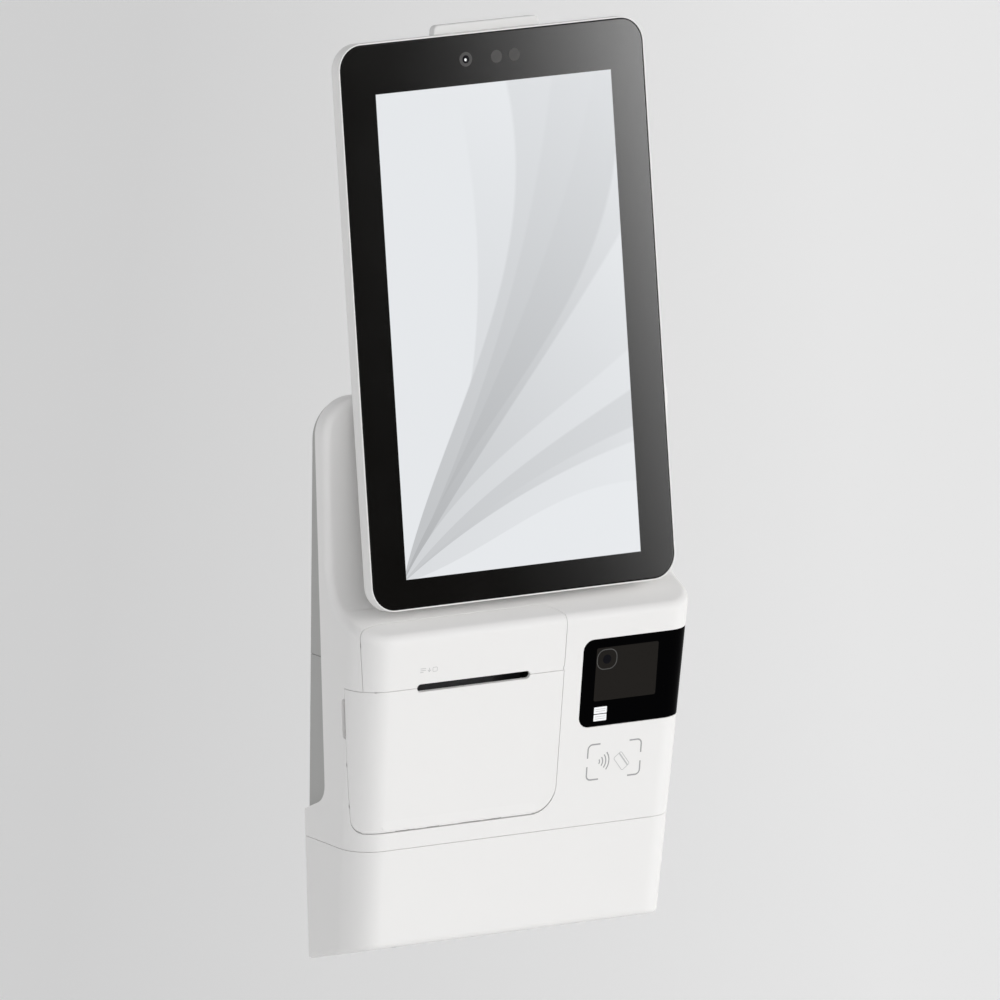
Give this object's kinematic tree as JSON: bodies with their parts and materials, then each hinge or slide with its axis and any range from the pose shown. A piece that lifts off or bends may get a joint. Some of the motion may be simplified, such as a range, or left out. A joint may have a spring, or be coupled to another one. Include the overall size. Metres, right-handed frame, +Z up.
{
  "type": "self checkout kiosk",
  "caption": "Wall-hung self checkout kiosk: tilting portrait touch display over a tapering white cabinet with receipt printer behind a drop-down door, code scanner window and card reader.",
  "frame": {"origin": "centre of the four wall screws, on the wall plane (the back face of the wall bracket)", "axes": "+X to the right of a user facing the screen, +Y into the wall so that -Y points at the user, +Z up"},
  "size_m": [0.2868, 0.0922, 0.6709],
  "materials": {
    "white_plastic": "fine satin texture, off-white",
    "grey_plastic": "fine texture, pale grey",
    "dark_plastic": "matte",
    "black_gloss": "gloss",
    "black_glass": "gloss, black printed behind",
    "lcd": "soft glowing picture",
    "light_plastic": "translucent satin",
    "black_steel": "powder coated",
    "bright_steel": "zinc plated",
    "cast_aluminium": "satin",
    "circuit_board": "solder mask",
    "brass": "turned",
    "ceramic": "glazed",
    "gear_plastic": "moulded acetal",
    "rubber": "ground",
    "paper": "smooth thermal paper",
    "board_tube": "wound card"
  },
  "bodies": {
    "cabinet": {"wall_bracket": "black_steel", "rear_housing": "grey_plastic", "rear_cover": "grey_plastic", "chassis_plate": "bright_steel", "main_shell": "white_plastic", "printer_hood": "white_plastic", "lower_cover": "white_plastic", "scanner_window": "black_gloss", "scanner_carrier": "dark_plastic", "scanner_display": "black_gloss", "scanner_camera": "dark_plastic", "scanner_lamps": "light_plastic", "nfc_reader": "circuit_board", "mainboard": "circuit_board", "mainboard_heatsink": "cast_aluminium", "power_board": "circuit_board", "board_standoffs": "brass", "port_board": "circuit_board", "dc_inlet": "dark_plastic", "ethernet_port": "bright_steel", "usb_ports": "bright_steel", "speaker": "dark_plastic", "chassis_screws": "bright_steel", "printer_frame": "bright_steel", "paper_bucket": "dark_plastic", "print_head": "ceramic", "head_heatsink": "cast_aluminium", "head_springs": "bright_steel", "feed_motor": "dark_plastic", "idler_axle": "bright_steel", "cutter_housing": "dark_plastic", "paper_sensor": "dark_plastic", "door_hinge_pins": "bright_steel", "hinge_base": "black_steel", "hinge_pin": "bright_steel", "hinge_nuts": "bright_steel", "friction_washers": "bright_steel"},
    "display": {"hinge_arm": "black_steel", "display_housing": "white_plastic", "display_frame": "bright_steel", "lcd_panel": "lcd", "cover_glass": "black_glass", "display_board": "circuit_board", "camera_module": "dark_plastic", "status_light": "light_plastic"},
    "printer_door": {"printer_door": "white_plastic", "platen_carrier": "bright_steel", "platen_bushes": "brass", "fixed_blade": "bright_steel"},
    "platen": {"platen_shaft": "bright_steel", "platen_roller": "rubber", "platen_gear": "gear_plastic"},
    "paper": {"paper_roll": "paper", "paper_core": "board_tube"},
    "idler": {"idler_gear": "gear_plastic"},
    "pinion": {"motor_pinion": "brass"},
    "blade": {"cutter_blade": "bright_steel"},
    "latch": {"latch_lever": "bright_steel", "latch_shaft": "bright_steel"},
    "button": {"power_button": "bright_steel"}
  },
  "joints": [
    {"name": "display_tilt", "type": "hinge", "parent": "cabinet", "child": "display", "pos_m": [0, -0.027, 0.084], "axis": [1, 0, 0], "range_deg": [-2.5, 4]},
    {"name": "printer_door_hinge", "type": "hinge", "parent": "cabinet", "child": "printer_door", "pos_m": [0, -0.06763, -0.1858], "axis": [1, 0, 0], "range_deg": [0, 80]},
    {"name": "platen_spin", "type": "hinge", "parent": "printer_door", "child": "platen", "pos_m": [0, -0.076, -0.086], "axis": [1, 0, 0], "continuous": true},
    {"name": "idler_spin", "type": "hinge", "parent": "cabinet", "child": "idler", "pos_m": [0, -0.061, -0.086], "axis": [1, 0, 0], "continuous": true},
    {"name": "pinion_spin", "type": "hinge", "parent": "cabinet", "child": "pinion", "pos_m": [0, -0.0484, -0.086], "axis": [1, 0, 0], "continuous": true},
    {"name": "paper_roll_spin", "type": "hinge", "parent": "cabinet", "child": "paper", "pos_m": [0, -0.046, -0.1243], "axis": [1, 0, 0], "continuous": true},
    {"name": "cutter_slide", "type": "slide", "parent": "cabinet", "child": "blade", "axis": [0, -1, 0], "range_m": [0, 0.009]},
    {"name": "latch_pivot", "type": "hinge", "parent": "cabinet", "child": "latch", "pos_m": [0, -0.06, -0.097], "axis": [-1, 0, 0], "range_deg": [0, 12], "stiffness_Nm_per_rad": 0.02},
    {"name": "power_button_press", "type": "slide", "parent": "cabinet", "child": "button", "axis": [0, 0, 1], "range_m": [0, 0.0015], "stiffness_N_per_m": 400}
  ],
  "couplings": [
    {"joint": "idler_spin", "follows": "platen_spin", "ratio": -0.66667},
    {"joint": "pinion_spin", "follows": "platen_spin", "ratio": 1.6667}
  ]
}
